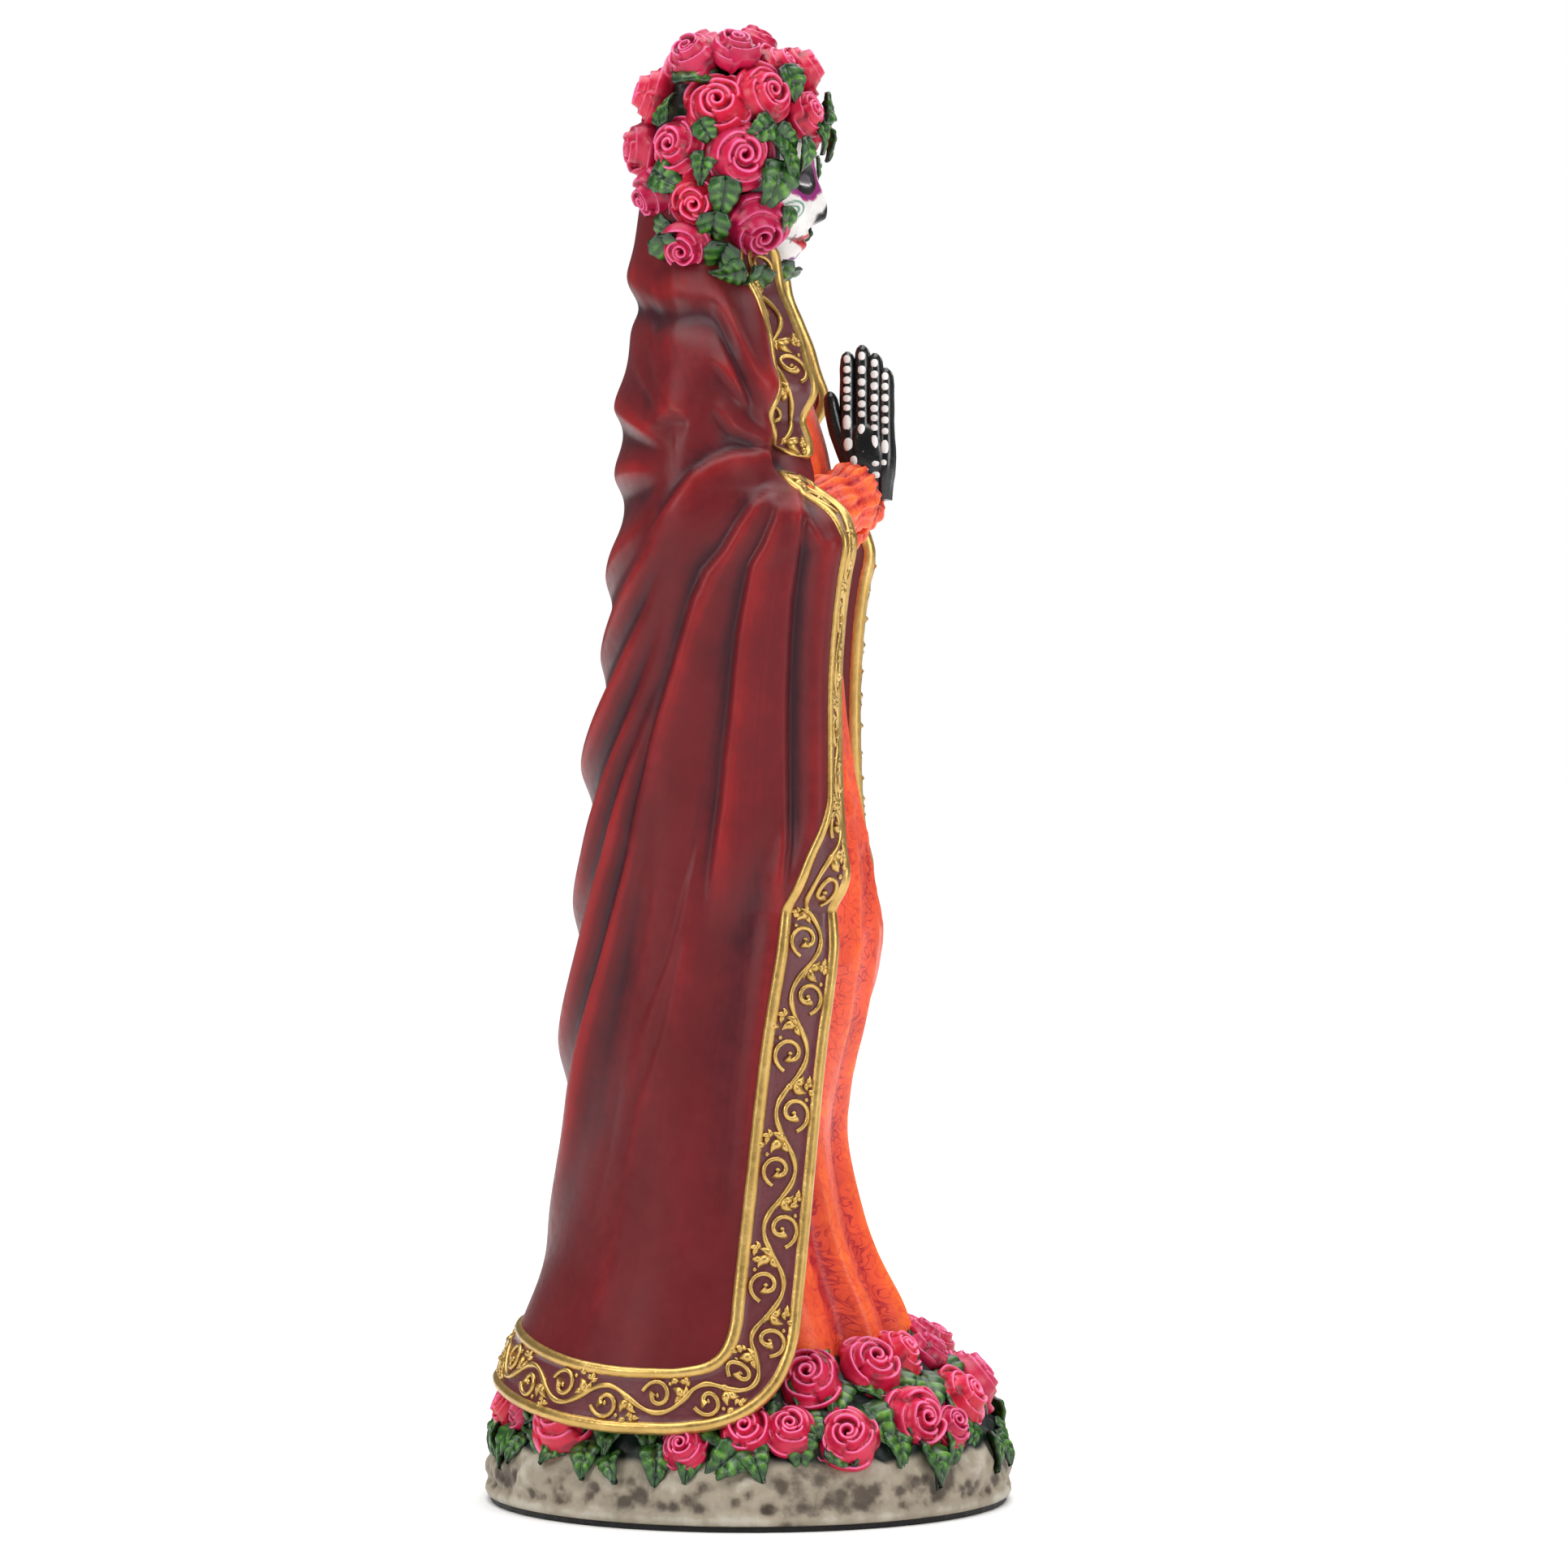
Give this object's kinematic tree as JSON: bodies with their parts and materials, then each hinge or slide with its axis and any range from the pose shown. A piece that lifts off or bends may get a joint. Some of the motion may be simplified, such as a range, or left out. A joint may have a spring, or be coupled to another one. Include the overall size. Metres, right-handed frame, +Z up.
{
  "type": "praying figurine",
  "caption": "Painted resin figurine of a skull-faced praying woman in a long bordered mantle, crowned with roses, standing on a rock base heaped with roses and leaves.",
  "frame": {"origin": "centre of the underside of the felt pad, below the rock base", "axes": "+Z up; the figure faces -Y; its right hand is on the -X side"},
  "size_m": [0.0998, 0.105, 0.29],
  "materials": {
    "painted_resin": "hand-painted cast resin, satin",
    "felt": "black felt"
  },
  "bodies": {
    "root": {"figurine": "painted_resin", "felt_pad": "felt"}
  },
  "joints": []
}
